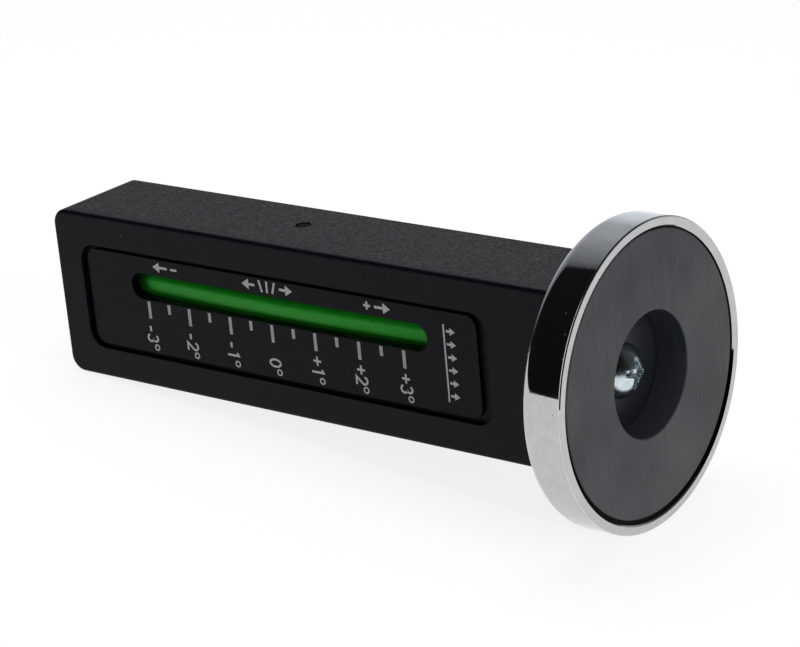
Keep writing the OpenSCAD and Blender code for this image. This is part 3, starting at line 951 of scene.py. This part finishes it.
# ---------------------------------------------------------------- stage
def white_table():
    """White to the camera and to reflections, apart from a share that takes the shadow."""
    mat = bpy.data.materials.new("white_table")
    tree = Tree(mat)
    tree.nodes.clear()
    glow = tree.add("ShaderNodeEmission", Strength=1.0)
    lit = tree.add("ShaderNodeBsdfDiffuse", Color=grey(TABLE_WHITE))
    mix = tree.add("ShaderNodeMixShader", Fac=TABLE_SHADE)
    tree.put(mix.inputs[1], glow.outputs[0])
    tree.put(mix.inputs[2], lit.outputs[0])
    tree.add("ShaderNodeOutputMaterial", Surface=mix.outputs[0])
    return mat


def build_table():
    """Round white table that the gauge lies on."""
    normal = Vector((math.sin(TABLE_TILT), 0, math.cos(TABLE_TILT)))
    middle = TABLE_AT - normal * (normal.dot(TABLE_AT) + TABLE_DROP * MM)
    turn = normal.to_track_quat("Z", "Y")
    sides = 96
    rim = [middle + turn @ Vector((u, v, 0)) for u, v in circle(TABLE_R, sides)]
    floor = make_object("floor", [tuple(p / MM) for p in rim], [tuple(range(sides))])
    floor.data.materials.append(white_table())


def studio_levels(tree, part, stops, tint=0.0):
    """Level by one part of a direction, between -1 and 1, from these rising (part, level) stops."""
    placed = [(at / 2 + 0.5, (level, level * (1 + tint * TINT_IN_GREEN), level * (1 + tint)))
              for at, level in stops]
    return tree.ramp(tree.math("MULTIPLY_ADD", part, 0.5, 0.5), placed)


def world_light():
    """White to the camera, even light on matt faces, a dark front and a pale back in reflections."""
    world = bpy.data.worlds.new("studio")
    bpy.context.scene.world = world
    tree = Tree(world)
    paths = tree.add("ShaderNodeLightPath").outputs
    direction = tree.add("ShaderNodeTexCoord").outputs["Generated"]
    split = tree.add("ShaderNodeSeparateXYZ", Vector=direction).outputs
    back = studio_levels(tree, split["Y"], STUDIO_BACK, STUDIO_TINT)
    right = studio_levels(tree, split["X"], STUDIO_RIGHT)
    studio = tree.mix(1.0, back, right, blend="MULTIPLY")
    white = grey(1.0)
    lit = tree.mix(paths["Is Glossy Ray"], grey(WORLD_LEVEL), studio)
    lit = tree.mix(paths["Is Transmission Ray"], lit, white)
    seen = tree.mix(paths["Is Camera Ray"], lit, white)
    tree.put(tree.nodes["Background"].inputs["Color"], seen)


def aim(obj, at, target):
    """Puts a lamp or the camera at a place, turned to a target."""
    obj.location = at
    obj.rotation_mode = "QUATERNION"
    obj.rotation_quaternion = (target - at).to_track_quat("-Z", "Y")
    bpy.context.scene.collection.objects.link(obj)


def build_lamps():
    """Soft lamps that reflections don't show."""
    for name, (at, (width, height), watts) in LAMPS.items():
        light = bpy.data.lights.new(name, "AREA")
        light.shape = "RECTANGLE"
        light.size, light.size_y = width, height
        light.energy = watts
        obj = bpy.data.objects.new(name, light)
        obj.visible_glossy = False
        aim(obj, Vector(at), LAMPS_AIM)


def build_camera():
    """Camera of the photograph, a little rolled."""
    cam = bpy.data.cameras.new("camera")
    cam.lens = CAMERA_LENS
    cam.sensor_width = CAMERA_SENSOR
    obj = bpy.data.objects.new("camera", cam)
    aim(obj, CAMERA_AT, CAMERA_AIM)
    obj.rotation_quaternion = obj.rotation_quaternion @ Quaternion((0, 0, 1), CAMERA_ROLL)
    bpy.context.scene.camera = obj


# ---------------------------------------------------------------- build
def dress_nodes():
    """Finishes on the CAD pieces that are shown as they are."""
    looks = {
        "body_shell": moulded_black(),
        "dial_plate": satin_black(),
        "vial_cradle": plain_finish("cradle_black", grey(0.006), grey(0.012), 0.6),
        "dial_tape": plain_finish("foam_tape", grey(0.02), grey(0.035), 0.8, 2.0),
        "cover_screws": plain_finish("black_steel", grey(0.03), grey(0.06), 0.4, 1.5, 1.0),
        "cradle_screws": chrome("zinc_small", 0.6, 0.2, 0.3),
        "captive_nut": chrome("zinc_nut", 0.6, 0.2, 0.3),
    }
    looks["back_cover"] = looks["body_shell"]
    for name, mat in looks.items():
        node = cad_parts[name]
        node.data.materials.clear()
        node.data.materials.append(mat)


build_camera()
build_table()
world_light()
build_lamps()
dress_nodes()

plate = chrome("chrome_plate", 0.505, 0.03, 0.08)
# Dark blue-grey for the cup's floor in the ring's hole
dark_floor = plain_finish("dark_floor", (0.010, 0.0125, 0.018, 1), (0.016, 0.0195, 0.026, 1), 0.4)
# Near-black with little sheen: painted shade in the gap, on the seal and on the ring's outside
black_seal_and_gap_shade = plain_finish("black_seal_and_gap_shade", (0.0003, 0.0003, 0.0005, 1), (0.0010, 0.0010, 0.0014, 1), 0.5,
                          specular=0.03)
magnet([plate, dark_floor, painted_edge_highlight()],
       [ground_ferrite(), fired_ferrite(), black_seal_and_gap_shade], black_seal_and_gap_shade)
screw(zinc_head())
vial(clear_tube(), green_liquid(), plain_finish("plug_rubber", grey(0.01), grey(0.02), 0.7))
# The bubble's rim is painted dark as shade
bubble([air(), plain_finish("bubble_rim_shade", (0.001, 0.012, 0.001, 1), (0.002, 0.025, 0.002, 1), 0.2)])
torn_stub(plain_finish("torn_black", grey(0.0006), grey(0.022), 0.8, 2.0, specular=0.02))
marks = Print()
mark_strokes(marks)
marks.finish("printed_marks", printed_ink("worn_ink", 0.13, 0.23), "scale_marks")
signs = Print()
scale_figures(signs)
direction_signs(signs)
up_signs(signs)
signs.finish("printed_signs", printed_ink("printed_ink", 0.19, 0.29))

bpy.context.scene.view_settings.view_transform = "Standard"
